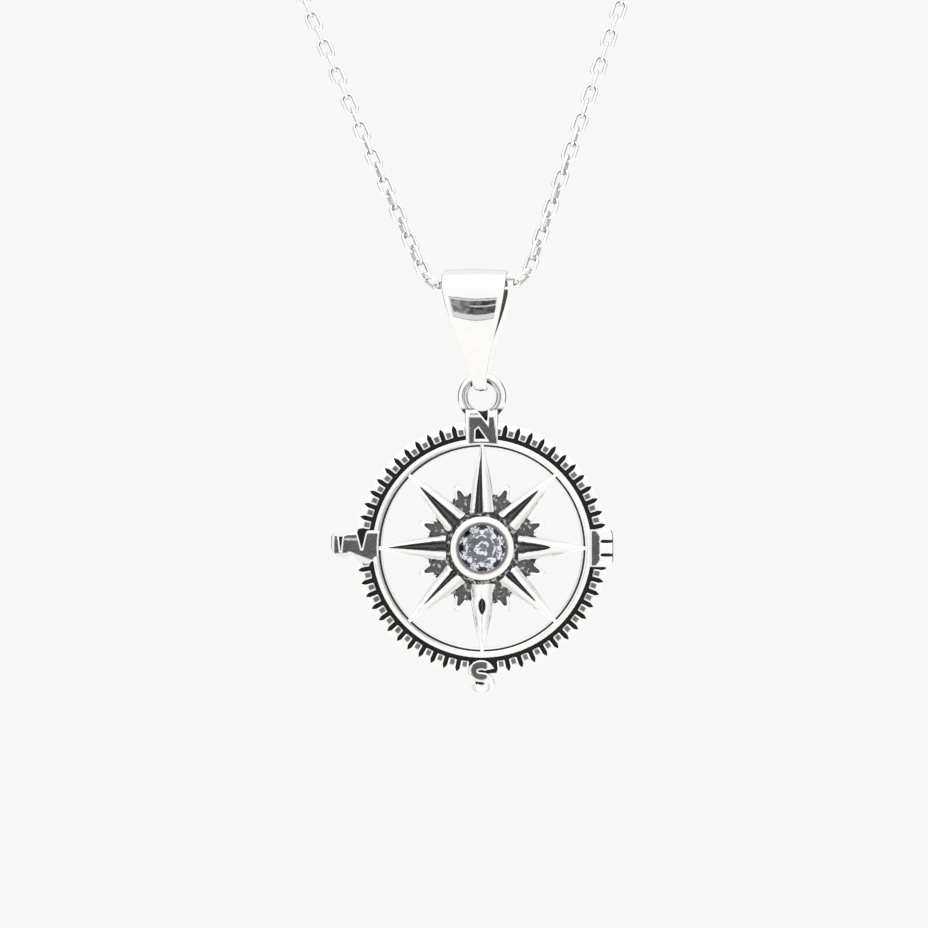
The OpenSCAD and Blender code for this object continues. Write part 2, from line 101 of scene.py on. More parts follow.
class CompassSizes(bpy.types.PropertyGroup):
    rim_d: length("Rim diameter", "Diameter over the toothed rim", 20.15, 18, 23)
    rim_h: length("Rim height", "Height of the teeth, back to front", 1.7, 1.4, 2.1)
    tooth_l: length("Tooth length", "Radial length of a tooth", 1.08, 0.8, 1.3)
    notch_w: length("Notch width", "Width of a notch", 0.38, 0.3, 0.6)
    notch_step: FloatProperty(
        name="Notch step", description="Angle from one notch to the next", subtype="ANGLE",
        default=math.radians(6.2), min=math.radians(5.5), max=math.radians(7),
    )
    channel_h: length("Channel floor", "Height of the dark channel's floor", 1.1, 0.8, 1.3)
    ring_out_r: length("Ring outside", "Outer radius of the polished ring", 8.74, 8, 9)
    ring_in_r: length("Ring inside", "Inner radius of the polished ring", 7.98, 7.6, 8.5)
    ring_h: length("Ring height", "Height of the polished ring", 1.9, 1.5, 2.3)
    letter_h: length("Letter height", "Height of the letters' faces, back to front", 2.0, 1.7, 2.4)
    ray_h: length("Ray height", "Height of a long ray's raised edges", 1.65, 1.4, 1.9)
    ray_hollow: length("Ray hollow", "Depth of the trough along a long ray", 0.4, 0.15, 0.5)
    short_tip_r: length("Short ray reach", "Distance from the centre to a short ray's tip", 5.5, 4.8, 6.2)
    hub_r: length("Hub radius", "Radius of the dark web behind the rays", 4.35, 3.8, 4.6)
    hub_h: length("Hub height", "Height of the dark web", 1.15, 0.9, 1.3)
    star_back: length("Star back", "How far the star's back lies in front of the rim's", 0.25, 0.1, 0.4)
    bezel_r: length("Bezel radius", "Outer radius of the bezel round the stone", 2.54, 2.2, 2.8)
    lip_r: length("Lip radius", "Inner radius of the bezel's lip", 1.84, 1.6, 2.1)
    bezel_h: length("Bezel height", "Height of the bezel's lip", 2.88, 2.4, 3.2)
    loop_r: length("Loop radius", "Radius of the loop's wire centre", 1.55, 1.45, 1.8)
    loop_wire: length("Loop wire", "Wire thickness of the loop", 0.8, 0.6, 0.9)
    loop_z: length("Loop height", "Height of the loop's middle plane", 0.95, 0.8, 1.1)
    notches: IntProperty(
        name="Notches", description="Notches in each quarter of the rim", default=12, min=8, max=14,
    )


class BailSizes(bpy.types.PropertyGroup):
    height: length("Height", "Height of the bail", 9.9, 8.5, 12)
    width: length("Width", "Width of the bail at its top", 5.2, 4.4, 6)
    tip_w: length("Tip width", "Width of the bail at its lower end", 1.1, 0.9, 1.2)
    top: length("Top", "Height of the bail's top over the chain's centre", 1.3, 1.1, 1.6)
    wall: length("Wall", "Sheet thickness of the bail", 0.55, 0.4, 0.65)
    top_r: length("Top radius", "Radius of the bend round the chain", 2.1, 1.6, 2.4)
    tip_r: length("Tip radius", "Radius of the bend round the loop", 1.1, 1, 1.3)
    flank_r: length("Flank radius", "Radius of the front and back leaves", 15.3, 8, 20)


class ChainSizes(bpy.types.PropertyGroup):
    wire: length("Wire", "Wire thickness of a link", 0.27, 0.2, 0.28)
    link_w: length("Link width", "Width of a link", 1.2, 1.05, 1.3)
    pitch: length("Pitch", "Length of chain that one link takes up", 1.29, 1.2, 1.45)
    play: length("Play", "Play at each end contact", 0.17, 0.15, 0.22)
    bend: length("Bend", "Bend radius of the chain beside the bail", 1.5, 1.5, 2.5)
    clasp_l: length("Clasp length", "Length of the clasp's barrel", 6, 5, 8)
    clasp_d: length("Clasp diameter", "Diameter of the clasp's barrel", 2.6, 2.2, 3.2)


class FinishColours(bpy.types.PropertyGroup):
    silver: FloatVectorProperty(
        name="Silver", description="Colour of the polished silver", subtype="COLOR",
        default=(0.93, 0.925, 0.915), min=0, max=1,
    )
    # This dark colour also paints the shade, shadows and reflections painted on some pieces.
    oxide_and_shade: FloatVectorProperty(
        name="Oxide", description="Colour of the blackened recesses", subtype="COLOR",
        default=(0.016, 0.016, 0.017), min=0, max=1,
    )
    stone: FloatVectorProperty(
        name="Stone", description="Tint of the cut stone", subtype="COLOR",
        default=(0.86, 0.9, 1.0), min=0, max=1,
    )


# Shader helpers


class Value:
    """A shader socket that takes part in Python arithmetic by adding Math nodes."""

    def __init__(self, shader, socket):
        self.shader = shader
        self.socket = socket

    def math(self, operation, *terms, clamp=False):
        settings = {"operation": operation, "use_clamp": clamp}
        made = self.shader.add("ShaderNodeMath", settings, dict(enumerate(terms)))
        return Value(self.shader, made.outputs[0])

    def __add__(self, other):
        return self.math("ADD", self, other)

    def __sub__(self, other):
        return self.math("SUBTRACT", self, other)

    def __mul__(self, other):
        return self.math("MULTIPLY", self, other)

    def __truediv__(self, other):
        return self.math("DIVIDE", self, other)

    def __rsub__(self, other):
        return self.math("SUBTRACT", other, self)

    __radd__ = __add__
    __rmul__ = __mul__

    def clamped(self):
        return self.math("ADD", self, 0.0, clamp=True)


class Shader:
    """A material's or world's node tree."""

    def __init__(self, owner):
        owner.use_nodes = True
        self.tree = owner.node_tree
        self.tree.nodes.clear()

    def add(self, kind, settings=None, sockets=None):
        """Adds a node: its settings first, then the values or links of its sockets."""
        made = self.tree.nodes.new(kind)
        for name, value in (settings or {}).items():
            setattr(made, name, value)
        for name, value in (sockets or {}).items():
            socket = made.inputs[name] if isinstance(name, int) else self.find(made.inputs, name)
            if isinstance(value, Value):
                self.tree.links.new(value.socket, socket)
            elif isinstance(value, bpy.types.NodeSocket):
                self.tree.links.new(value, socket)
            else:
                socket.default_value = value
        return made

    def find(self, sockets, name):
        return next(s for s in sockets if name in (s.identifier, s.name))

    def value(self, kind, settings=None, sockets=None, output=0):
        made = self.add(kind, settings, sockets)
        found = made.outputs[output] if isinstance(output, int) else self.find(made.outputs, output)
        return Value(self, found)

    def mix(self, factor, first, second):
        """A colour between two colours."""
        return self.value(
            "ShaderNodeMix", {"data_type": "RGBA"},
            {"Factor_Float": factor, "A_Color": first, "B_Color": second}, "Result_Color",
        )

    def vectors(self, operation, output, *terms):
        """Vector Math on the terms. The output is Vector, or Value where the result is a number."""
        settings = {"operation": operation}
        return self.value("ShaderNodeVectorMath", settings, dict(enumerate(terms)), output)

    def noise(self, spot, scale, detail):
        """A cloudy pattern between 0 and 1."""
        sockets = {"Vector": spot, "Scale": scale, "Detail": detail}
        return self.value("ShaderNodeTexNoise", {}, sockets, "Fac")

    def ramp(self, value, low, high):
        """0 below low, 1 above high, smooth between."""
        return self.value(
            "ShaderNodeMapRange", {"interpolation_type": "SMOOTHSTEP"},
            {"Value": value, "From Min": low, "From Max": high},
        )


def rgba(colour):
    return (*colour, 1.0)


def silver(name, grain=1.0, darkness_offset=0.0):
    """Polished silver, blackened where the mesh's darkness values say so: oxide in hollows, and on some
    pieces painted shade and painted reflections.
    """
    colours = bpy.context.scene.pendant_finish
    material = bpy.data.materials.new(name)
    shader = Shader(material)
    spot = shader.value("ShaderNodeTexCoord", output="Object")
    cloud = shader.noise(spot, 900.0, 3.0)
    speck = shader.noise(spot, 5200.0, 4.0)
    drawn_out = shader.value(
        "ShaderNodeMapping", {},
        {"Vector": spot, "Rotation": (0.3, 0.2, 0.5), "Scale": (9000.0, 2500.0, 600.0)},
    )
    scratch = shader.noise(drawn_out, 1.0, 2.0)
    # The darkness values carry oxide and, on some pieces, painted shade and painted reflections; a negative
    # offset hides them.
    own = shader.value("ShaderNodeAttribute", {"attribute_name": "patina_and_shade"}, {}, "Fac")
    patchy = speck * 1.8 + cloud - 1.4
    darkened = (own + darkness_offset).clamped()
    mask = (darkened + patchy * darkened * (1.0 - darkened)).clamped()
    worn = [c * 0.97 for c in colours.silver]
    polished = shader.mix(shader.ramp(cloud, 0.35, 0.7), rgba(worn), rgba(colours.silver))
    colour = shader.mix(mask, polished, rgba(colours.oxide_and_shade))
    rough = grain * (0.03 + 0.03 * cloud + 0.03 * scratch) + 0.34 * mask
    wave = cloud * 0.6 + speck * 0.12 + scratch * 0.08 + mask * speck * 1.6
    bump = shader.value(
        "ShaderNodeBump", {}, {"Strength": 0.25 * grain, "Distance": 0.00003, "Height": wave},
    )
    surface = shader.value(
        "ShaderNodeBsdfPrincipled", {},
        {"Base Color": colour, "Metallic": 1.0 - mask * 0.35, "Roughness": rough, "Normal": bump},
    )
    shader.add("ShaderNodeOutputMaterial", {}, {"Surface": surface})
    return material


def cut_stone():
    """Clear stone, with an uneven dark ring painted on its crown as a painted reflection."""
    colours = bpy.context.scene.pendant_finish
    material = bpy.data.materials.new("Cut stone")
    shader = Shader(material)
    spot = shader.value("ShaderNodeTexCoord", output="Object")
    cloud = shader.noise(spot, 700.0, 2.0)
    clear = shader.mix(cloud, rgba([c * 0.97 for c in colours.stone]), rgba(colours.stone))
    from_centre = shader.vectors("SUBTRACT", "Vector", spot, tuple(CENTRE))
    across = shader.vectors("MULTIPLY", "Vector", from_centre, (1, 0, 1))
    reach = shader.vectors("LENGTH", "Value", across) * (1 / MM)
    depth = shader.value("ShaderNodeSeparateXYZ", {}, {0: from_centre}, "Y") * (1 / MM)
    facet = shader.value("ShaderNodeTexVoronoi", {}, {"Vector": spot, "Scale": 2600.0}, "Distance")
    uneven = reach + (cloud - 0.5) * 0.25 + (facet - 0.4) * 0.4
    crown = shader.ramp(0.0 - depth, 2.25, 2.4)
    # Painted reflection: an uneven dark ring on the crown.
    ring = shader.ramp(uneven, 0.5, 0.62) * (1.0 - shader.ramp(uneven, 0.98, 1.12))
    colour = shader.mix(ring * crown, clear, (0.004, 0.004, 0.008, 1))
    surface = shader.value(
        "ShaderNodeBsdfPrincipled", {},
        {"Base Color": colour, "Roughness": 0.0, "IOR": 2.15, "Transmission Weight": 1.0},
    )
    shader.add("ShaderNodeOutputMaterial", {}, {"Surface": surface})
    return material


# Mesh helpers


def arc(cx, cy, r, start, end, steps):
    """Points of an arc, angles in degrees."""
    angles = [math.radians(start + (end - start) * i / steps) for i in range(steps + 1)]
    return [(cx + r * math.cos(a), cy + r * math.sin(a)) for a in angles]


def spun(profile, steps):
    """A closed profile of (radius, height) spun all round Z."""
    bm = bmesh.new()
    verts = [bm.verts.new((r, 0, z)) for r, z in profile]
    edges = [bm.edges.new((verts[i - 1], verts[i])) for i in range(len(verts))]
    bmesh.ops.spin(
        bm, geom=verts + edges, cent=(0, 0, 0), axis=(0, 0, 1), angle=math.tau, steps=steps, use_merge=True,
    )
    bmesh.ops.recalc_face_normals(bm, faces=bm.faces)
    return bm


def relief(along, across, shape, shade, base, low=1.0):
    """A closed block whose top is shape(u, v) for u in 0..1 and v in -1..1, over a flat base. shade(u, v)
    is how dark the top is, and low is how dark the foot of the sides is."""
    bm = bmesh.new()
    bmesh.ops.create_grid(bm, x_segments=along, y_segments=across, size=1)
    patina_and_shade = bm.verts.layers.float.new("patina_and_shade")
    for vert in bm.verts:
        u = (vert.co.x + 1) / 2
        v = vert.co.y
        vert[patina_and_shade] = shade(u, v)
        vert.co = shape(u, v)
    border = [edge for edge in bm.edges if edge.is_boundary]
    skirt = bmesh.ops.extrude_edge_only(bm, edges=border)["geom"]
    for vert in skirt:
        if isinstance(vert, bmesh.types.BMVert):
            vert.co.z = base
            vert[patina_and_shade] = low
    bmesh.ops.holes_fill(bm, edges=[edge for edge in bm.edges if edge.is_boundary], sides=0)
    bmesh.ops.recalc_face_normals(bm, faces=bm.faces)
    return bm


def paint(bm, rule):
    """Writes how dark the mesh is, from oxide and on some pieces painted shade: 1 where the silver is
    blackened, 0 where it is polished.
    """
    patina_and_shade = bm.verts.layers.float.new("patina_and_shade")
    for vert in bm.verts:
        vert[patina_and_shade] = rule(vert.co)
    return bm


def repeat(bm, count, angle):
    """Copies the whole mesh round Z, count in all."""
    bmesh.ops.spin(
        bm, geom=bm.verts[:] + bm.edges[:] + bm.faces[:], cent=(0, 0, 0), axis=(0, 0, 1),
        angle=math.radians(angle) * (count - 1), steps=count - 1, use_duplicate=True,
    )


def turned(bm, degrees, axis="Z"):
    turn = Matrix.Rotation(math.radians(degrees), 3, axis)
    bmesh.ops.rotate(bm, cent=(0, 0, 0), matrix=turn, verts=bm.verts)
    return bm


def wire_ring(r, wire, wire_sides, steps, start=0):
    """A closed ring of round wire about Z, with its first section start degrees from X."""
    bm = bmesh.new()
    bmesh.ops.create_circle(bm, segments=wire_sides, radius=wire / 2)
    turned(bm, 90, "X")
    bmesh.ops.translate(bm, vec=(r, 0, 0), verts=bm.verts)
    turned(bm, start)
    bmesh.ops.spin(
        bm, geom=bm.verts[:] + bm.edges[:], cent=(0, 0, 0), axis=(0, 0, 1),
        angle=math.tau, steps=steps, use_merge=True,
    )
    bmesh.ops.recalc_face_normals(bm, faces=bm.faces)
    return bm


def raised_faces(bm, faces, rise):
    """Makes a block of flat faces. Returns the faces of its top."""
    made = bmesh.ops.extrude_face_region(bm, geom=faces, use_keep_orig=True)["geom"]
    verts = [g for g in made if isinstance(g, bmesh.types.BMVert)]
    bmesh.ops.translate(bm, vec=(0, 0, rise), verts=verts)
    bmesh.ops.recalc_face_normals(bm, faces=bm.faces)
    return [g for g in made if isinstance(g, bmesh.types.BMFace)]


def joined(parts):
    """One mesh of several."""
    whole = bmesh.new()
    for part in parts:
        mesh = bpy.data.meshes.new("part")
        part.to_mesh(mesh)
        part.free()
        whole.from_mesh(mesh)
        bpy.data.meshes.remove(mesh)
    return whole


def smooth_step(value):
    t = min(1.0, max(0.0, value))
    return t * t * (3 - 2 * t)


def interpolated(x, stops):
    """The value at x between stops of (x, value)."""
    for (x0, y0), (x1, y1) in zip(stops, stops[1:]):
        if x < x1:
            break
    return y0 + (y1 - y0) * min(1, max(0, (x - x0) / (x1 - x0)))


def finished(name, bm, place, material, body, slot, *nodes, sharp=38):
    """The mesh as a piece: placed, shaded smooth between sharp edges, riding on its body."""
    bmesh.ops.transform(bm, matrix=place, verts=bm.verts)
    mesh = bpy.data.meshes.new(name)
    bm.to_mesh(mesh)
    bm.free()
    mesh.polygons.foreach_set("use_smooth", [True] * len(mesh.polygons))
    mesh.set_sharp_from_angle(angle=math.radians(sharp))
    mesh.materials.append(material)
    piece = bpy.data.objects.new(name, mesh)
    bpy.context.scene.collection.objects.link(piece)
    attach(piece, body)
    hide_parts(*nodes)
    return piece


def compass_piece(name, model, material):
    """A piece of the compass's soldered metal, from the function that models it in millimetres."""
    sizes = in_mm(bpy.context.scene.pendant_compass)
    finished(name, model(sizes), COMPASS_PLACE, material, "pendant", "compass_silver", "compass")


# Compass

# Seeds the star's uneven edges, which would change with the clock at each start without it
EDGE_SEED = 1795748375

# Angles from east, north, west and south to the first notch that follows
FIRST_NOTCHES = (10.7, 13.4, 10.2, 12.5)

# The long rays from east round by north: plate widths on the left and right, where the trough opens and ends
RAY_SHAPES = (
    (0.45, 0.6, 0, 0.46), (0.45, 0.8, 0, 0.65), (0.44, 0.95, 0, 0.95), (0.5, 0.65, 0, 0.75),
    (0.72, 0.38, 0, 0.85), (0.98, 0.62, 0, 0.65), (0.68, 0.68, 0.2, 0.44), (0.76, 0.82, 0, 0.57),
)


def rim_base(s):
    """The ring under the teeth, whose top is the dark floor of the channel and the notches."""
    rim_r = s.rim_d / 2
    wall_r = rim_r - 0.04
    inner_r = s.ring_in_r + 0.2
    bevel = 0.15
    profile = [
        (inner_r, 0.12), (inner_r + 0.12, 0), (rim_r - bevel, 0),
        *arc(rim_r - bevel, bevel, bevel, -60, 0, 3),
        (wall_r, s.channel_h - 0.08), (wall_r - 0.02, s.channel_h),
        (s.ring_out_r, s.channel_h), (inner_r, s.channel_h),
    ]
    return paint(spun(profile, 192), lambda co: float(co.z > s.channel_h - 0.04))


def tooth(s):
    """One tooth along X: a stained hollow framed by bright edges, a ridge, then a bright outer face."""
    rim_r = s.rim_d / 2
    inner_r = rim_r - s.tooth_l
    along = 16
    ridge = 9 / along
    half_angle = s.notch_step / 2

    def top(u, v):
        r = inner_r + (rim_r - inner_r) * u
        notch = s.notch_w * (1 - smooth_step((u - 0.62) / 0.45))
        rounding = 0.09 * (1 - smooth_step(u / 0.12))
        half = r * math.tan(half_angle) - notch / 2 - rounding
        if u < ridge:
            height = s.rim_h - 0.2 * (1 - u / ridge) - 0.15 * (1 - smooth_step(u / 0.1))
            height -= 0.05 * (1 - abs(v) ** 4) * smooth_step((ridge - u) / 0.1)
        else:
            height = s.rim_h - 0.26 * (u - ridge) / (1 - ridge)
        return r, half * v, height - 0.05 * abs(v) ** 8

    def darkening(u, v):
        inside = smooth_step((u - 0.1) / 0.08) * (1 - smooth_step((u - ridge + 0.05) / 0.08))
        return 0.85 * inside * (1 - smooth_step((abs(v) - 0.5) / 0.25))

    bm = relief(along, 12, top, darkening, s.channel_h - 0.15)
    patina_and_shade = bm.verts.layers.float.get("patina_and_shade")
    for vert in bm.verts:
        if vert.co.x > rim_r - 0.2:
            vert.co.x = min(vert.co.x, math.sqrt(rim_r ** 2 - vert.co.y ** 2))
            if vert.co.x > rim_r - 0.05:
                vert[patina_and_shade] = 0
    return bm


def toothed_rim(s):
    """The rim with its teeth. They start half a step before the first notch after each letter."""
    quarters = []
    step = math.degrees(s.notch_step)
    for i, first_notch in enumerate(FIRST_NOTCHES):
        teeth = turned(tooth(s), 90 * i + first_notch - step / 2)
        repeat(teeth, s.notches + (i % 2 == 0), step)
        quarters.append(teeth)
    return joined([rim_base(s), *quarters])


def inner_ring(s):
    """A low bright step along the opening, a dark groove, then the raised band with its sloping crown."""
    groove_r = s.ring_in_r + 0.15
    band_r = s.ring_in_r + 0.27
    crest_r = band_r + 0.16
    floor = 1.35
    step_top = 1.55
    corner = 0.04
    profile = [
        (s.ring_in_r + 0.1, 0.15), (s.ring_in_r, 0.3), (s.ring_in_r, step_top - 0.1),
        *arc(s.ring_in_r + 0.075, step_top - 0.075, 0.075, 180, 15, 6),
        (groove_r, step_top - 0.06), (groove_r + 0.02, floor), (band_r - 0.02, floor),
        (band_r, s.ring_h - 0.12),
        *arc(band_r + corner, s.ring_h - 0.09, corner, 165, 125, 2),
        (crest_r - 0.05, s.ring_h - 0.01), (crest_r, s.ring_h), (crest_r + 0.05, s.ring_h - 0.006),
        (s.ring_out_r - 0.1, s.ring_h - 0.06),
        *arc(s.ring_out_r - 0.07, s.ring_h - 0.13, 0.07, 70, 0, 4),
        (s.ring_out_r, s.channel_h - 0.1), (s.ring_out_r - 0.1, 0.15),
    ]

    def darkening(co):
        r = co.xy.length
        if co.z < floor + 0.02:
            return 0.95 if r > groove_r else 0.0
        # Painted reflection: the left half of the band's inner slope is painted grey. The groove floor's
        # darkness is oxide.
        if band_r - 0.01 < r < crest_r - 0.02:
            return 0.5 * smooth_step((0.1 - co.x / r) / 0.7)
        return 0.0

    return paint(spun(profile, 192), darkening)


# Letter outlines, in millimetres from the compass's centre
NORTH = [
    (-1.33, 8.17), (-1.36, 10.98), (-1.29, 11.08), (-0.42, 11.08), (0.42, 10.0), (0.45, 11.08), (1.21, 11.08),
    (1.29, 10.98), (1.3, 8.18), (0.9, 8.23), (0.45, 8.27), (0, 8.28), (-0.45, 8.27), (-0.9, 8.23),
]
NORTH_HOLE = [(-0.52, 8.64), (0.34, 8.64), (-0.3, 9.56), (-0.5, 9.4)]
EAST = [
    (8.62, -1.5), (8.62, 1.5), (10.15, 1.52), (10.38, 1.38), (10.47, 1.05), (10.48, 0.58), (10.1, 0.65),
    (9.75, 0.67), (9.52, 0.63), (9.46, 0.54), (9.52, 0.45), (9.75, 0.41), (10.1, 0.43), (10.48, 0.5),
    (10.48, -0.5), (10.1, -0.43), (9.75, -0.41), (9.52, -0.45), (9.46, -0.54), (9.52, -0.63),
    (9.75, -0.67), (10.1, -0.65), (10.48, -0.58), (10.47, -1.05), (10.38, -1.38), (10.15, -1.52),
]
WEST = [
    (-12.04, 0), (-12.04, 0.96), (-11.84, 1.16), (-11.48, 1.08), (-11.42, 0.9), (-11.3, -0.22),
    (-11.26, -0.22), (-11.16, 0.8), (-11.12, 1.06), (-10.05, 1.4), (-9.96, 1.3), (-9.62, -0.04),
    (-9.58, -0.04), (-9.3, 1.2),
    (-9.16, 1.42), (-8.6, 1.46), (-8.14, 1.5), (-8.24, 0.8), (-8.28, 0), (-8.26, -0.5), (-8.22, -0.95),
    (-8.8, -1.1), (-8.94, -1.26), (-9.4, -1.32), (-9.95, -1.26), (-10.24, -0.8), (-10.5, -0.4),
    (-10.62, -0.4), (-10.8, -0.9), (-10.95, -0.99), (-11.5, -0.97), (-11.86, -0.6),
]

# Outlines of the dark floors in the letters' slots: one in W, two in E, one in S
SLOT_FLOORS = [
    [(-11.47, 0.92), (-11.38, -0.3), (-11.18, -0.3), (-11.1, 0.92)],
    [(9.42, 0.3), (10.45, 0.36), (10.45, 0.7), (9.42, 0.75)],
    [(9.42, -0.75), (10.45, -0.7), (10.45, -0.36), (9.42, -0.3)],
    [(-0.55, -10.68), (0.14, -10.7), (0.14, -11.02), (-0.42, -11.02)],
]


def south_outline(x, y, w, l, stroke, opening):
    """Two joined bows, each between an outer and an inner ellipse, about the letter's middle at x, y."""
    bow_y = (l - stroke) / 4
    steps = 16

    def edge(i, inset):
        a = math.radians(opening + (270 - opening) * i / steps)
        return (w / 2 - inset) * math.cos(a), bow_y + (bow_y + stroke / 2 - inset) * math.sin(a)

    side = [edge(i, 0) for i in range(steps + 1)] + [
        tuple(-c for c in edge(i, stroke)) for i in range(steps - 1, -1, -1)
    ]
    return [(x + a, y + b) for a, b in side] + [(x - a, y - b) for a, b in side]


def face_painted_reflection(x, y):
    """How dark a letter's face is painted, from 0 to 1: painted reflections, with a few painted highlight
    streaks. The parts that bend away are bright.
    """
    if y > 8:
        # Painted reflection: a dark arc across the top of the N.
        arch = 0.7 * (10.6 < y < 10.78) * (-0.95 < x < -0.25)
        right = smooth_step((0.9 - x - 0.13 * (y - 11)) / 0.08)
        return max(arch, right * smooth_step((x + 1.04) / 0.06) * smooth_step((10.5 - y) / 0.08))
    if x < -8:
        lower = interpolated(x, ((-11.8, -0.45), (-10.3, -0.4), (-10.1, -0.5), (-8.9, -0.95)))
        # Painted highlight: a light streak along the W's arm.
        painted_highlight = 0.75 * (0.66 < y < 0.8) * (-11.1 < x < -9.95)
        top = smooth_step((interpolated(x, ((-10, 1.1), (-9, 1.25))) - y) / 0.08)
        level = (1 - painted_highlight) * top * smooth_step((y - lower) / 0.09)
        return max(0.12, level * smooth_step((x + 11.82) / 0.06))
    if y < -8:
        middle = smooth_step((0.45 - x) / 0.1) * smooth_step((y + 10.62 - 0.25 * x) / 0.1)
        middle *= smooth_step((0.8 - math.hypot((x + 0.06) / 1.07, y + 9.75)) / 0.08)
        bowl = 0.35 * (1 - smooth_step(abs(math.hypot(x + 0.06, y + 11) - 0.62) / 0.14))
        return max(middle, bowl * (y < -10.8))
    corner = max(0, abs(y) - 0.95)
    return smooth_step((9.42 - 0.7 * corner - x) / 0.08)


def letter(outlines, falls, low, high, bevel, rim_r):
    """A raised letter from its outline and those of its holes, with rounded edges and a face painted dark in
    places as painted reflections.
    Beyond the line of each fall, given as a point, a direction and a slope, the face bends down."""
    cell = 0.09
    bm = bmesh.new()
    patina_and_shade = bm.verts.layers.float.new("patina_and_shade")
    edges = []
    for outline in outlines:
        verts = [bm.verts.new((x, y, low)) for x, y in outline]
        edges += [bm.edges.new((verts[i - 1], verts[i])) for i in range(len(verts))]
    for vert in bm.verts:
        vert[patina_and_shade] = float(vert.co.length < rim_r - 0.1)
    filled = bmesh.ops.triangle_fill(bm, edges=edges, use_beauty=True)["geom"]
    under = [g for g in filled if isinstance(g, bmesh.types.BMFace)]
    top = raised_faces(bm, under, high - low)
    borders = []
    for width in (bevel * 0.35, bevel * 0.65, 0.04):
        made = bmesh.ops.inset_region(bm, faces=top, thickness=width, use_even_offset=True)
        borders.append(made["faces"])
    # Each ring's drop and darkness: the bevels stay bright and the face is painted dark as a painted
    # reflection.
    levels = ((bevel * 0.9, 0.0), (bevel * 0.3, 0.0), (0.0, 0.1), (0.0, 0.9))
    for faces, (drop, darkening) in zip((*borders, top), levels):
        for vert in {v for face in faces for v in face.verts}:
            vert.co.z = high - drop
            vert[patina_and_shade] = darkening
    cuts = [((x, y, 0), (*towards, 0)) for (x, y), towards, _ in falls]
    for axis, step in enumerate((Vector((cell, 0, 0)), Vector((0, cell, 0)))):
        least = min(vert.co[axis] for vert in bm.verts)
        most = max(vert.co[axis] for vert in bm.verts)
        lines = range(math.floor(least / cell), math.ceil(most / cell))
        cuts += [(step * (k + 0.5), step) for k in lines]
    for place, normal in cuts:
        bmesh.ops.bisect_plane(
            bm, geom=bm.verts[:] + bm.edges[:] + bm.faces[:], dist=1e-4, plane_co=place, plane_no=normal,
        )
    for vert in bm.verts:
        if vert.co.z > high - 0.3:
            # The face's darkness is shaped into painted reflections and painted highlights.
            vert[patina_and_shade] *= face_painted_reflection(vert.co.x, vert.co.y)
            for point, towards, slope in falls:
                beyond = (vert.co.xy - Vector(point)).dot(Vector(towards).normalized())
                vert.co.z -= slope * max(0.0, beyond)
    return bm


def slot_floor(outline, low, high):
    """The blackened floor of a slot in a letter, a little larger than the slot."""
    bm = bmesh.new()
    face = bm.faces.new([bm.verts.new((x, y, low)) for x, y in outline])
    raised_faces(bm, [face], high - low)
    return paint(bm, lambda co: 1.0)


def letters(s):
    """The four letters, each with the lines beyond which its face bends down."""
    rim_r = s.rim_d / 2
    low = 0.15
    bevel = 0.11
    shapes = (
        ([NORTH, NORTH_HOLE], [
            ((-1.08, 0), (-1, 0), 0.55), ((0.86, 11.1), (0.992, 0.127), 0.5), ((0, 10.5), (0, 1), 0.25),
            ((0, 10.75), (0, 1), 0.4),
        ]),
        ([EAST], [
            ((9.36, 0), (1, 0), 0.16), ((9.12, 1), (0.5, 0.8), 0.2), ((9.12, -1), (0.5, -0.8), 0.2),
            ((10.1, 0), (1, 0), 0.4),
        ]),
        ([WEST], [
            ((-10, -0.38), (0, -1), 0.45), ((-10.5, 0.98), (-0.28, 0.96), 0.5), ((-11.82, 0), (-1, 0), 0.5),
            ((-9, 1.2), (0.1, 1), 0.4),
        ]),
        ([south_outline(-0.06, -10.3, 2.14, 2.76, 0.8, 15)], [
            ((0, -10.6), (-0.2, -0.98), 0.2), ((0, -11.25), (0, -1), 0.35), ((-0.86, -9.8), (-1, 0.2), 0.6),
            ((0.5, -9.3), (1, 0.3), 0.4),
        ]),
    )
    faces = [letter(outlines, falls, low, s.letter_h, bevel, rim_r) for outlines, falls in shapes]
    return joined([*faces, *[slot_floor(outline, low, s.letter_h - 0.35) for outline in SLOT_FLOORS]])


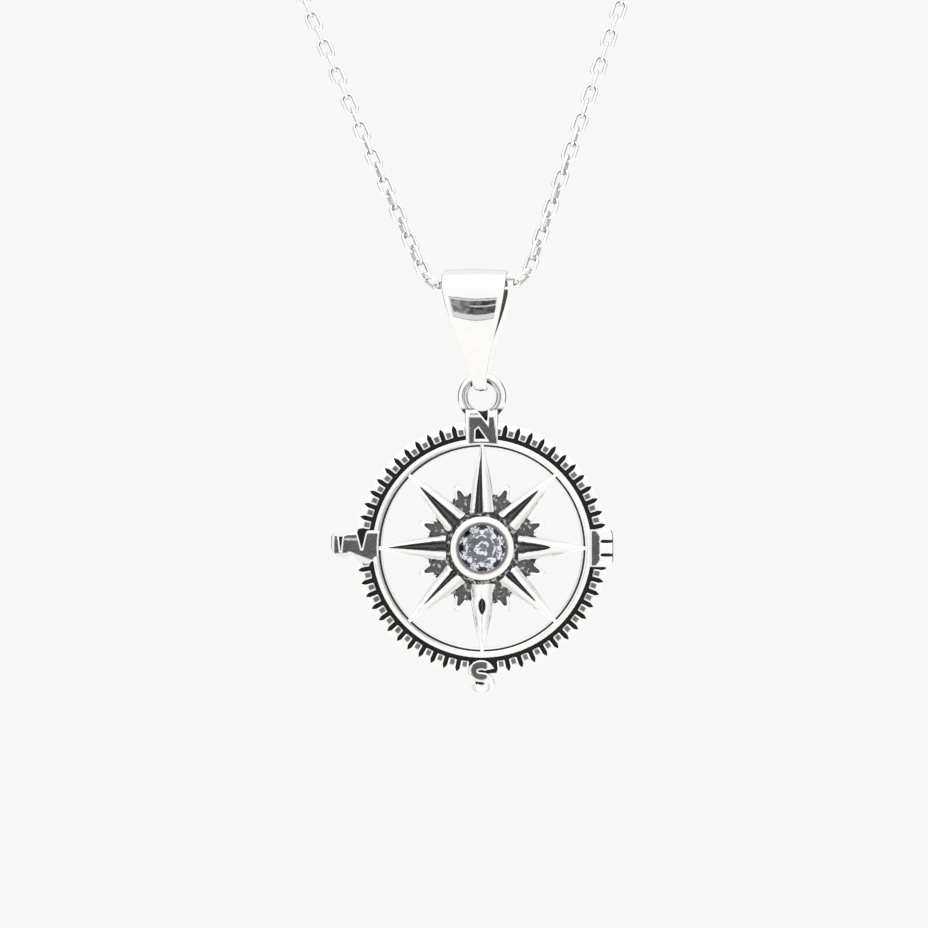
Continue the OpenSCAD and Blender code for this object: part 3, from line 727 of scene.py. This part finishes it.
def ray(s, ray_shape):
    """A long ray along X: two plates that slope away from the dark trough between them. ray_shape gives
    the plates' widths at the root on the left and right, and the shares of the length between which the
    trough is open. A trough that opens at 0 runs out into the hub."""
    left, right, start, end = ray_shape
    root_r = 2.88
    root_w = 2.08
    tip_r = s.ring_in_r + 0.4
    halves = ((root_r, root_w / 2), (4.5, 0.85), (5.44, 0.71), (6.7, 0.46), (7.4, 0.26), (8.4, 0.13))
    sides = ((0, 0.2), (0.1, 0.06), (0.3, 0.11), (0.65, 0.04), (0.92, -0.01), (1, 0))
    plate_slope = 0.22
    trough = 4
    across = 2 * (len(sides) - 1) + 2 * trough
    count = len(sides)

    def column(v):
        return round((v + 1) / 2 * across)

    def gap(u):
        if start > 0:
            return math.sin(math.pi * min(1, max(0, (u - start) / (end - start)))) ** 0.6
        return max(0, 1 - u / end) ** 0.42

    def top(u, v):
        r = root_r + (tip_r - root_r) * u
        half = interpolated(r, halves)
        narrow = 2 * half / root_w
        closed_w = (root_w - left - right) * (1 - gap(u)) / 2
        left_w = (left + closed_w) * narrow
        right_w = (right + closed_w) * narrow
        gap_w = 2 * half - left_w - right_w
        deep = min(s.ray_hollow, 1.2 * gap_w)
        i = column(v)
        if i < count:
            share, drop = sides[i]
            y = -half + right_w * share
            drop += plate_slope * right_w * (1 - share)
        elif i > across - count:
            share, drop = sides[across - i]
            y = half - left_w * share
            drop += plate_slope * left_w * (1 - share)
        else:
            share = (i - count + 1) / (2 * trough)
            y = -half + right_w + gap_w * share
            drop = deep * min(1, 3.2 * min(share, 1 - share))
        return r, y, s.ray_h - drop * min(1, 0.35 + narrow)

    def darkening(u, v):
        i = column(v)
        open_share = smooth_step(gap(u) / 0.18)
        if i in (2, across - 2):
            return 0.3 * smooth_step((0.8 - u) / 0.3)
        if i in (count - 1, across - count + 1):
            return 0.3 * open_share
        return 0.9 * open_share * (count <= i <= across - count)

    return relief(40, across, top, darkening, s.star_back, low=0.25)


def long_rays(s):
    return crinkled(joined(turned(ray(s, shape), 45 * i) for i, shape in enumerate(RAY_SHAPES)))


def short_points(s):
    points = turned(short_point(s), 22.5)
    repeat(points, 8, 45)
    return crinkled(points)


def short_point(s):
    """A short point along X: a bright chevron round a dark hollow that runs out into the hub."""
    root_r = 3.0
    halves = ((root_r, 0.5), (4.2, 0.56), (4.4, 0.5), (5.2, 0.24), (s.short_tip_r, 0.07))
    hollow_end = 5.0
    levels = ((0, 0.3), (0.5, 0.3), (1, 0.26), (0.25, 0.03), (0.5, 0), (0.85, 0.03), (1, 0.14))
    across = 12

    def section(u, v):
        """The radius, how far it has risen from the hub there, and the level's number."""
        r = root_r + (s.short_tip_r - root_r) * u
        return r, smooth_step((r - 4.15) / 0.2), abs(round(v * across / 2))

    def top(u, v):
        r, rise, i = section(u, v)
        half = interpolated(r, halves)
        hollow_w = interpolated(r, ((4.3, 0.24), (hollow_end, 0.05)))
        hollow = smooth_step((hollow_end - r) / 0.2)
        share, drop = levels[i]
        away = hollow_w * share if i < 3 else hollow_w + (half - hollow_w) * share
        high = s.ray_h - 0.15 - drop * (hollow if i < 3 else 1) - 0.22 * max(0, r - 4.7)
        low = s.hub_h + 0.04 + 0.1 * noise.noise(Vector((r, v, 3)) * 3)
        return r, math.copysign(away, v), low + (high - low) * rise

    def darkening(u, v):
        r, rise, i = section(u, v)
        return max(0.9 * (1 - rise), 0.9 * (i < 3) * smooth_step((hollow_end + 0.02 - r) / 0.1))

    return relief(30, across, top, darkening, s.star_back, low=0.25)


def crinkled(bm):
    """The star's raised edges are uneven near the hub, as cast and polished metal is."""
    noise.seed_set(EDGE_SEED)
    for vert in bm.verts:
        if vert.co.z > 1.2:
            rough = 1 - smooth_step((vert.co.xy.length - 3) / 1.3)
            shift = noise.noise_vector(vert.co * 3.2) * (0.012 + 0.13 * rough)
            vert.co += Vector((shift.x * 0.7, shift.y * 0.7, shift.z * 0.5))
    return bm


def hub(s):
    """The rough dark web between the rays. Its back stands just proud of the rays' backs and covers
    their roots."""
    inner_r = 2.3
    even_r = 3.6
    back = s.star_back - 0.05
    rings = 30
    top = [(inner_r + (s.hub_r - 0.08 - inner_r) * i / rings, s.hub_h) for i in range(rings + 1)]
    profile = [*top, (s.hub_r, s.hub_h - 0.12), (s.hub_r, back), (inner_r, back)]
    bm = paint(spun(profile, 240), lambda co: 1.0 if co.z > s.hub_h - 0.2 else 0.2)
    patina_and_shade = bm.verts.layers.float.get("patina_and_shade")
    for vert in bm.verts:
        reach = vert.co.xy.length
        if vert.co.z > s.hub_h - 0.02:
            grain = noise.noise(vert.co * 3.4) + 0.6 * noise.noise(vert.co * 8)
            vert.co.z += 0.12 * grain
            vert[patina_and_shade] = 0.93 - 0.5 * smooth_step((grain - 0.05) / 0.35)
        if reach > even_r:
            flat = Vector((vert.co.x, vert.co.y, 0))
            shift = 0.35 * noise.noise(flat * 2.2) + 0.2 * noise.noise(flat * 5)
            vert.co.xy *= 1 + shift * (reach - even_r) / (s.hub_r - even_r) / s.hub_r
    return bm


def bezel(s):
    """The cup round the stone: a bright rounded edge, a lip that slopes in, and a straight wall."""
    back_r = 1.2
    seat_r = 2.04
    edge = 0.05
    profile = [
        (back_r, 0), (s.bezel_r - 0.15, 0), *arc(s.bezel_r - 0.15, 0.15, 0.15, -60, 0, 3),
        *arc(s.bezel_r - 0.14, s.bezel_h - 0.26, 0.14, 0, 72, 5),
        (2.15, s.bezel_h - 0.03), (2.03, s.bezel_h), (1.98, s.bezel_h - 0.015), (1.94, s.bezel_h - 0.06),
        *arc(s.lip_r + edge, s.bezel_h - 0.16, edge, 75, 180, 4),
        (s.lip_r, s.bezel_h - 0.3), (seat_r, 2.34), (seat_r, 2.18), (back_r, 1.45),
    ]

    # Painted shade: black inside the lip where it meets the stone, dark in the cup behind the stone, grey on
    # the lip's inner edge.
    def darkening(co):
        r = co.xy.length
        if r < s.lip_r + 0.01 and co.z > 2:
            return 1.0
        if r < seat_r + 0.01:
            return 0.75 if co.z > 1.4 else 0.3
        return 0.3 if r < 1.96 and co.z > 2 else 0.0

    return paint(spun(profile, 128), darkening)


def loop(s):
    """The closed wire loop on top of the compass, with painted shade on its hollow side and a painted shadow
    where it is soldered on.
    """
    height = (LOOP_PLACE.z - CENTRE.z) / MM
    solder = s.rim_d / 2 + 1.15 - height

    def darkening(co):
        inward = math.degrees(math.atan2(abs(co.z), co.xy.length - s.loop_r))
        # Painted shade: grey bands on the hollow side. Painted shadow: black low down, where the loop is
        # soldered on.
        line = 0.6 if 96 < inward < 118 else 0.4 if inward > 155 else 0.15 if inward > 90 else 0.0
        return max(line, smooth_step((solder - co.y) / 0.15))

    bm = paint(wire_ring(s.loop_r, s.loop_wire, 32, 72), darkening)
    bmesh.ops.translate(bm, vec=(0, height, s.loop_z), verts=bm.verts)
    return bm


# Bail


def bail_profile(s):
    """Front half of the bail's side outline, from the tip up to the top: three arcs that meet smoothly,
    as (depth, height, outward depth, outward height)."""
    top_z = s.top - s.top_r
    tip_z = s.top - s.height + s.tip_r
    span = top_z - tip_z
    reach_top = s.flank_r - s.top_r
    reach_tip = s.flank_r - s.tip_r
    above = (span ** 2 + reach_top ** 2 - reach_tip ** 2) / (2 * span)
    flank_z = top_z - above
    flank_y = math.sqrt(reach_top ** 2 - above ** 2)
    upper = math.degrees(math.atan2(above, -flank_y))
    lower = math.degrees(math.atan2(tip_z - flank_z, -flank_y)) % 360
    rows = []
    for cy, cz, r, start, end, steps in (
        (0, tip_z, s.tip_r, 270, lower, 10),
        (flank_y, flank_z, s.flank_r, lower, upper, 20),
        (0, top_z, s.top_r, upper, 90, 12),
    ):
        for i in range(steps + 1):
            a = math.radians(start + (end - start) * i / steps)
            row = (cy + r * math.cos(a), cz + r * math.sin(a), math.cos(a), math.sin(a))
            if not rows or math.dist(rows[-1][:2], row[:2]) > 1e-4:
                rows.append(row)
    return rows


def bail(s):
    """A tapered strip bent into a teardrop, slightly domed across and rounded over at its long edges. It
    is bent a little aslant, so that the front hides the lower half of the back."""
    half = bail_profile(s)
    around = half + [(-y, z, -out_y, out_z) for y, z, out_y, out_z in reversed(half[1:-1])]
    around.append(around[0])
    across = 20
    bm = bmesh.new()
    bmesh.ops.create_grid(bm, x_segments=len(around) - 1, y_segments=across, size=1)
    for vert in bm.verts:
        y, z, out_y, out_z = around[round((vert.co.x + 1) / 2 * (len(around) - 1))]
        share = math.sin(math.radians(90 * vert.co.y))
        t = max(0, (s.top - z) / s.height)
        half_w = s.width / 2 - (s.width - s.tip_w) / 2 * smooth_step(t ** 1.1)
        inward = 0.1 * share ** 2 + 0.12 * share ** 40
        depth = y - out_y * inward
        aslant = interpolated(t, ((0.2, 0.09), (0.9, -0.24))) if depth > 0 else 0.09
        vert.co = (half_w * share + aslant * depth, depth, z - out_z * inward - 0.055 * half_w * share)
    bmesh.ops.remove_doubles(bm, verts=bm.verts, dist=1e-4)
    bmesh.ops.recalc_face_normals(bm, faces=bm.faces)
    # Painted shade: the whole sheet gets darkness 0.8, which only the inside faces show.
    return paint(bm, lambda co: 0.8)


# Chain

# The source's chosen corners of the route round the neck: x, y, z and bend radius
CORNERS = [(50.4, -2, 0, 25), (48, 50, 14, 45), (-48, 50, 14, 45), (-51.6, -2, 0, 25)]

# The eyes at the clasp's ends: the wire's radius of bend and thickness
EYE_R = 0.55
EYE_WIRE = 0.3


class Route:
    """The chain's middle line, from the bail's pivot round the neck and back."""

    def __init__(self, chain, bail_w):
        self.pivot = PIVOT / MM
        corners = [self.beside_bail(1, chain, bail_w)]
        corners += [(Vector(c[:3]), c[3]) for c in CORNERS]
        corners += [self.beside_bail(-1, chain, bail_w)]
        points = [self.pivot]
        for i, (corner, r) in enumerate(corners):
            before = corners[i - 1][0] if i else self.pivot
            after = corners[i + 1][0] if i + 1 < len(corners) else self.pivot
            points += self.corner_arc(corner, r, before, after)
        points.append(self.pivot)
        self.points = points
        self.run = [0.0]
        for a, b in zip(points, points[1:]):
            self.run.append(self.run[-1] + (b - a).length)
        self.length = self.run[-1]

    def beside_bail(self, side, chain, bail_w):
        gap = 0.15
        neck = Vector(CORNERS[0 if side > 0 else -1][:3])
        run = bail_w
        for _ in range(6):
            corner = self.pivot + side * run * BAIL_AXIS
            turn = (corner - self.pivot).angle(neck - corner)
            run = bail_w / 2 + gap + chain.bend * math.tan(turn / 2)
        return self.pivot + side * run * BAIL_AXIS, chain.bend

    def corner_arc(self, corner, r, before, after):
        steps = 18
        ahead = (corner - before).normalized()
        onward = (after - corner).normalized()
        turn = ahead.angle(onward)
        inward = ahead.cross(onward).normalized().cross(ahead)
        start = corner - r * math.tan(turn / 2) * ahead
        return [
            start + r * (inward * (1 - math.cos(turn * i / steps)) + ahead * math.sin(turn * i / steps))
            for i in range(steps + 1)
        ]

    def at(self, run):
        run %= self.length
        i = next(k for k in range(1, len(self.run)) if self.run[k] >= run)
        share = (run - self.run[i - 1]) / (self.run[i] - self.run[i - 1])
        return self.points[i - 1].lerp(self.points[i], share)


def along_chain(centre, ahead, roll):
    """Places a part whose own X runs along the chain and whose Y lies across, turned by roll degrees."""
    flat = ahead.cross(Vector((0, -1, 0))).normalized()
    up = ahead.cross(flat)
    a = math.radians(roll)
    across = flat * math.cos(a) - up * math.sin(a)
    high = ahead.cross(across)
    turn = Matrix((ahead, across, high)).transposed().to_4x4()
    return Matrix.Translation(centre) @ turn


def link(c, pitch, wire_sides, steps):
    """A ring of wire drawn out into an oval link, with a little painted shade on its inner side."""
    bow = (c.link_w - c.wire) / 2
    stretch = (pitch + 2 * c.wire + c.play - c.link_w) / 2
    bm = wire_ring(bow, c.wire, wire_sides, steps, 180 / steps)
    # Painted shade on the link's inner side.
    paint(bm, lambda co: 0.45 * (co.xy.length < bow - 0.3 * c.wire))
    for vert in bm.verts:
        vert.co.x += math.copysign(stretch, vert.co.x)
    mesh = bpy.data.meshes.new("link")
    bm.to_mesh(mesh)
    bm.free()
    return mesh


def clasp(c):
    """A plain barrel with a small eye at each end."""
    half = c.clasp_l / 2
    r = c.clasp_d / 2
    bevel = 0.5
    profile = [(0.02, -half), (r - bevel, -half)]
    profile += arc(r - bevel, bevel - half, bevel, -90, 0, 6)
    profile += arc(r - bevel, half - bevel, bevel, 0, 90, 6)
    profile += [(0.02, half)]
    pieces = [turned(spun(profile, 48), 90, "Y")]
    for side in (-1, 1):
        eye = wire_ring(EYE_R, EYE_WIRE, 10, 24)
        bmesh.ops.translate(eye, vec=(side * (half + EYE_R - EYE_WIRE / 2), 0, 0), verts=eye.verts)
        pieces.append(eye)
    return joined(pieces)


# Operators, one for each piece or group of like pieces


class MakeRim(bpy.types.Operator):
    """Model the toothed rim with its dark channel"""

    bl_idname = "pendant.make_rim"
    bl_label = "Make rim"

    def execute(self, context):
        compass_piece("toothed_rim", toothed_rim, silver("Antiqued rim silver"))
        return {"FINISHED"}


class MakeInnerRing(bpy.types.Operator):
    """Model the polished ring round the opening"""

    bl_idname = "pendant.make_inner_ring"
    bl_label = "Make inner ring"

    def execute(self, context):
        compass_piece("inner_ring", inner_ring, silver("Polished ring silver"))
        return {"FINISHED"}


class MakeLetters(bpy.types.Operator):
    """Model the four raised letters"""

    bl_idname = "pendant.make_letters"
    bl_label = "Make letters"

    def execute(self, context):
        compass_piece("compass_letters", letters, silver("Letter silver"))
        return {"FINISHED"}


class MakeStar(bpy.types.Operator):
    """Model the star: long rays, short rays and the dark hub web"""

    bl_idname = "pendant.make_star"
    bl_label = "Make star"

    def execute(self, context):
        metal = silver("Ray silver", grain=1.6)
        compass_piece("long_rays", long_rays, metal)
        compass_piece("short_rays", short_points, metal)
        compass_piece("hub_web", hub, silver("Blackened hub silver", grain=4.0))
        return {"FINISHED"}


class MakeSetting(bpy.types.Operator):
    """Model the bezel and give the cut stone its glass"""

    bl_idname = "pendant.make_setting"
    bl_label = "Make setting"

    def execute(self, context):
        compass_piece("bezel_cup", bezel, silver("Bezel silver"))
        node = frame["nodes"]["stone"]
        node.data.materials.clear()
        node.data.materials.append(cut_stone())
        return {"FINISHED"}


class MakeLoop(bpy.types.Operator):
    """Model the wire loop on top of the compass"""

    bl_idname = "pendant.make_loop"
    bl_label = "Make loop"

    def execute(self, context):
        compass_piece("top_loop", loop, silver("Loop silver"))
        return {"FINISHED"}


class MakeBail(bpy.types.Operator):
    """Model the folded-sheet bail"""

    bl_idname = "pendant.make_bail"
    bl_label = "Make bail"

    def execute(self, context):
        sizes = in_mm(context.scene.pendant_bail)
        # The outside cancels the painted shade. The inside faces get a second material that shows it.
        metal = silver("Bail silver", grain=0.4, darkness_offset=-1.0)
        sharp = 50
        piece = finished(
            "bail_sheet", bail(sizes), BAIL_PLACE, metal, "bail", "bail_silver", "bail", sharp=sharp,
        )
        piece.data.materials.append(silver("Bail inside painted shade silver"))
        sheet = piece.modifiers.new("Wall", "SOLIDIFY")
        sheet.thickness = sizes.wall * MM
        sheet.offset = -1
        sheet.use_even_offset = True
        sheet.material_offset = 1
        edge = piece.modifiers.new("Edge", "BEVEL")
        edge.width = 0.1 * MM
        edge.segments = 3
        edge.limit_method = "ANGLE"
        edge.angle_limit = math.radians(sharp)
        return {"FINISHED"}


class MakeChain(bpy.types.Operator):
    """Model the cable chain, link by link, and its clasp"""

    bl_idname = "pendant.make_chain"
    bl_label = "Make chain"

    def execute(self, context):
        c = in_mm(context.scene.pendant_chain)
        route = Route(c, in_mm(context.scene.pendant_bail).width)
        front_links = 40
        untwist = 16
        source_wire = 0.25
        slack = 0.1
        eye_end = c.clasp_l / 2 + 2 * (EYE_R - EYE_WIRE / 2)
        hook = eye_end - slack - source_wire / 2 + (source_wire + c.play) / 2
        side_run = route.length / 2 - hook
        count = round(side_run / c.pitch - 0.5)
        pitch = side_run / (count + 0.5)
        for name, fine, low, high in (
            ("chain_front_links", True, 0, front_links),
            ("chain_back_links", False, front_links + 1, count),
        ):
            model = link(c, pitch, 8 if fine else 6, 16 if fine else 12)
            whole = bmesh.new()
            for k in [k for k in range(-high, high + 1) if abs(k) >= low]:
                tail = route.at((k - 0.5) * pitch)
                head = route.at((k + 0.5) * pitch)
                twist = 45 * (1 - min(1, abs(k) / untwist))
                roll = 90 * (abs(k) % 2) + twist
                place = along_chain((tail + head) / 2, (head - tail).normalized(), roll)
                copy = model.copy()
                copy.transform(place)
                whole.from_mesh(copy)
                bpy.data.meshes.remove(copy)
            bpy.data.meshes.remove(model)
            metal = silver("Chain silver " + ("front" if fine else "back"))
            node = "chain_front" if fine else "chain_back"
            finished(name, whole, Matrix.Scale(MM, 4), metal, "chain", "chain_silver", node, sharp=80)
        middle = route.length / 2
        ahead = (route.at(middle + source_wire) - route.at(middle - source_wire)).normalized()
        place = Matrix.Scale(MM, 4) @ along_chain(route.at(middle), ahead, 0)
        finished("clasp_barrel", clasp(c), place, silver("Clasp silver"), "chain", "clasp_silver", "clasp")
        return {"FINISHED"}


class MakeStage(bpy.types.Operator):
    """Set the pale floor, the white tent of light and the camera"""

    bl_idname = "pendant.make_stage"
    bl_label = "Make stage"

    def execute(self, context):
        scene = context.scene
        scene.view_settings.view_transform = "Standard"
        self.floor()
        self.tent(scene)
        self.camera(scene)
        return {"FINISHED"}

    def floor(self):
        bm = bmesh.new()
        bmesh.ops.create_circle(bm, cap_ends=True, segments=96, radius=0.46)
        bmesh.ops.translate(bm, vec=(0, 0, -0.2), verts=bm.verts)
        mesh = bpy.data.meshes.new("floor")
        bm.to_mesh(mesh)
        bm.free()
        floor = bpy.data.objects.new("floor", mesh)
        bpy.context.scene.collection.objects.link(floor)
        material = bpy.data.materials.new("Pale floor")
        shader = Shader(material)
        spot = shader.value("ShaderNodeTexCoord", output="Object")
        reach = shader.vectors("LENGTH", "Value", spot)
        pale = shader.value("ShaderNodeBsdfDiffuse", {}, {"Color": (0.97, 0.955, 0.93, 1)})
        clear = shader.value("ShaderNodeBsdfTransparent")
        faded = shader.ramp(reach, 0.28, 0.45)
        mixed = shader.value("ShaderNodeMixShader", {}, {0: faded, 1: pale, 2: clear})
        shader.add("ShaderNodeOutputMaterial", {}, {"Surface": mixed})
        mesh.materials.append(material)

    def tent(self, scene):
        """A white tent with a bright ceiling and greyer walls behind the pendant. It is open in front,
        where a dark room with a few lit edges shows."""
        world = bpy.data.worlds.new("Tent")
        scene.world = world
        shader = Shader(world)
        way = shader.value("ShaderNodeTexCoord", output="Generated")
        towards = shader.add("ShaderNodeSeparateXYZ", {}, {0: way})
        x, y, z = (Value(shader, towards.outputs[name]) for name in "XYZ")

        def between(value, low, high, soft):
            above = shader.ramp(value, low - soft, low + soft)
            return above * (1.0 - shader.ramp(value, high - soft, high + soft))

        def grey(level):
            return level, level, level, 1

        side = x.math("ABSOLUTE", x)
        behind = shader.mix(shader.ramp(side, 0.35, 0.55), grey(0.8), grey(0.34))
        light = shader.mix(shader.ramp(y, -0.05, 0.25), grey(1.06), behind)
        light = shader.mix(between(side, 0.76, 0.93, 0.04) * shader.ramp(y, 0.2, 0.35), light, grey(0.15))
        ceiling = shader.mix(shader.ramp(y, -0.2, 0.4), grey(1.5), grey(0.95))
        light = shader.mix(shader.ramp(z, 0.45, 0.7), light, ceiling)
        light = shader.mix(shader.ramp(0.0 - z, 0.15, 0.4), light, (1.1, 1.08, 1.04, 1))
        front = 1.0 - shader.ramp(y, -0.6, -0.5)
        spread = (x + 0.19) / (1.16 - z) - 0.19
        opening = between(spread, -0.34, -0.047, 0.006) * between(z, -0.085, 0.155, 0.005) * front
        light = shader.mix(opening, light, grey(0.76))
        room = between(spread, -0.312, -0.053, 0.006) * between(z, -0.021, 0.125, 0.006) * front
        mottled = shader.ramp(shader.noise(way, 26.0, 2.0), 0.38, 0.62)
        near = shader.mix(mottled, grey(0.17), grey(0.36))
        far = shader.mix(mottled, grey(0.05), grey(0.16))
        depth = shader.mix(shader.ramp(x, -0.26, -0.18), near, far)
        light = shader.mix(room, light, depth)
        bright_line = between(z, 0.061, 0.076, 0.004) * room * shader.ramp(x, -0.22, -0.2)
        light = shader.mix(bright_line, light, grey(0.7))
        light = shader.mix(between(z, 0.141, 0.15, 0.002) * opening, light, grey(0.35))
        light = shader.mix(between(z, -0.083, -0.075, 0.002) * opening, light, grey(0.4))
        seen = shader.value("ShaderNodeLightPath", output="Is Camera Ray")
        colour = shader.mix(seen, light, (0.93, 0.93, 0.925, 1))
        background = shader.value("ShaderNodeBackground", {}, {"Color": colour, "Strength": 1.0})
        shader.add("ShaderNodeOutputWorld", {}, {"Surface": background})

    def camera(self, scene):
        """A long lens straight in front. A pixel shows 0.08 mm, and the compass's centre is where the photo
        has it."""
        pixel = 0.08 * MM
        half = 464
        centre_column = 482
        centre_row = 548
        distance = 0.7
        sensor = 36
        aim = CENTRE + Vector(((half - centre_column) * pixel, 0, (centre_row - half) * pixel))
        data = bpy.data.cameras.new("Camera")
        data.sensor_width = sensor
        data.lens = sensor * distance / (2 * half * pixel)
        data.clip_start = 0.01
        camera = bpy.data.objects.new("Camera", data)
        scene.collection.objects.link(camera)
        camera.location = aim + Vector((0, -distance, 0))
        camera.rotation_euler = (math.radians(90), 0, 0)
        scene.camera = camera


class PendantPanel(bpy.types.Panel):
    """The pendant's pieces"""

    bl_idname = "VIEW3D_PT_pendant"
    bl_label = "Compass pendant"
    bl_space_type = "VIEW_3D"
    bl_region_type = "UI"
    bl_category = "Pendant"

    def draw(self, context):
        for name in ("pendant_compass", "pendant_bail", "pendant_chain", "pendant_finish"):
            group = getattr(context.scene, name)
            box = self.layout.box()
            box.label(text=name.replace("_", " ").capitalize())
            for key in group.bl_rna.properties.keys():
                if key not in ("rna_type", "name"):
                    box.prop(group, key)
        for maker in MAKERS:
            self.layout.operator(maker.bl_idname)


GROUPS = {
    "pendant_compass": CompassSizes,
    "pendant_bail": BailSizes,
    "pendant_chain": ChainSizes,
    "pendant_finish": FinishColours,
}
MAKERS = (
    MakeStage, MakeRim, MakeInnerRing, MakeLetters, MakeStar, MakeSetting, MakeLoop, MakeBail, MakeChain,
)


def register():
    for name, group in GROUPS.items():
        bpy.utils.register_class(group)
        setattr(bpy.types.Scene, name, PointerProperty(type=group))
    for maker in (*MAKERS, PendantPanel):
        bpy.utils.register_class(maker)


def unregister():
    for maker in (PendantPanel, *reversed(MAKERS)):
        bpy.utils.unregister_class(maker)
    for name, group in reversed(GROUPS.items()):
        delattr(bpy.types.Scene, name)
        bpy.utils.unregister_class(group)


def main():
    register()
    bpy.ops.pendant.make_stage()
    bpy.ops.pendant.make_rim()
    bpy.ops.pendant.make_inner_ring()
    bpy.ops.pendant.make_letters()
    bpy.ops.pendant.make_star()
    bpy.ops.pendant.make_setting()
    bpy.ops.pendant.make_loop()
    bpy.ops.pendant.make_bail()
    bpy.ops.pendant.make_chain()


if __name__ == "__main__":
    main()
